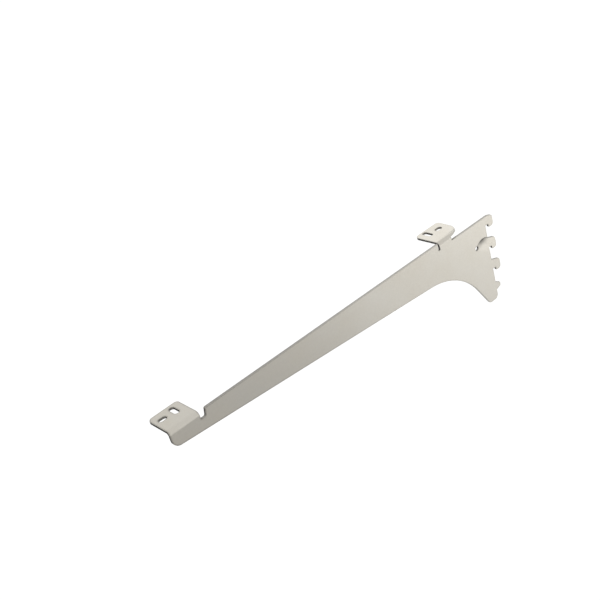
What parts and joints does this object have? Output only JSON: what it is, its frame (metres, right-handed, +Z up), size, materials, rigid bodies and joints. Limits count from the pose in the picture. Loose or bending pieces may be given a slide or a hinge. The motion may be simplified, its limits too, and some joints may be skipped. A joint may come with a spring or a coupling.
{
  "type": "slotted shelf bracket",
  "caption": "Folded sheet steel shelf bracket: a tapered blade on edge with hooks along its wall edge and two screw flanges for the shelf.",
  "frame": {"origin": "On the outer face of the blade, where its wall edge would meet the plane the shelf lies on.", "axes": "X runs out from the wall edge, Z is up, and the blade's outer face looks along +Y. The flanges turn towards -Y."},
  "size_m": [0.4096, 0.0322, 0.0996],
  "materials": {
    "sheet": "satin nickel plated, with soft punched edges"
  },
  "bodies": {
    "root": {"bracket": "sheet"}
  },
  "joints": []
}
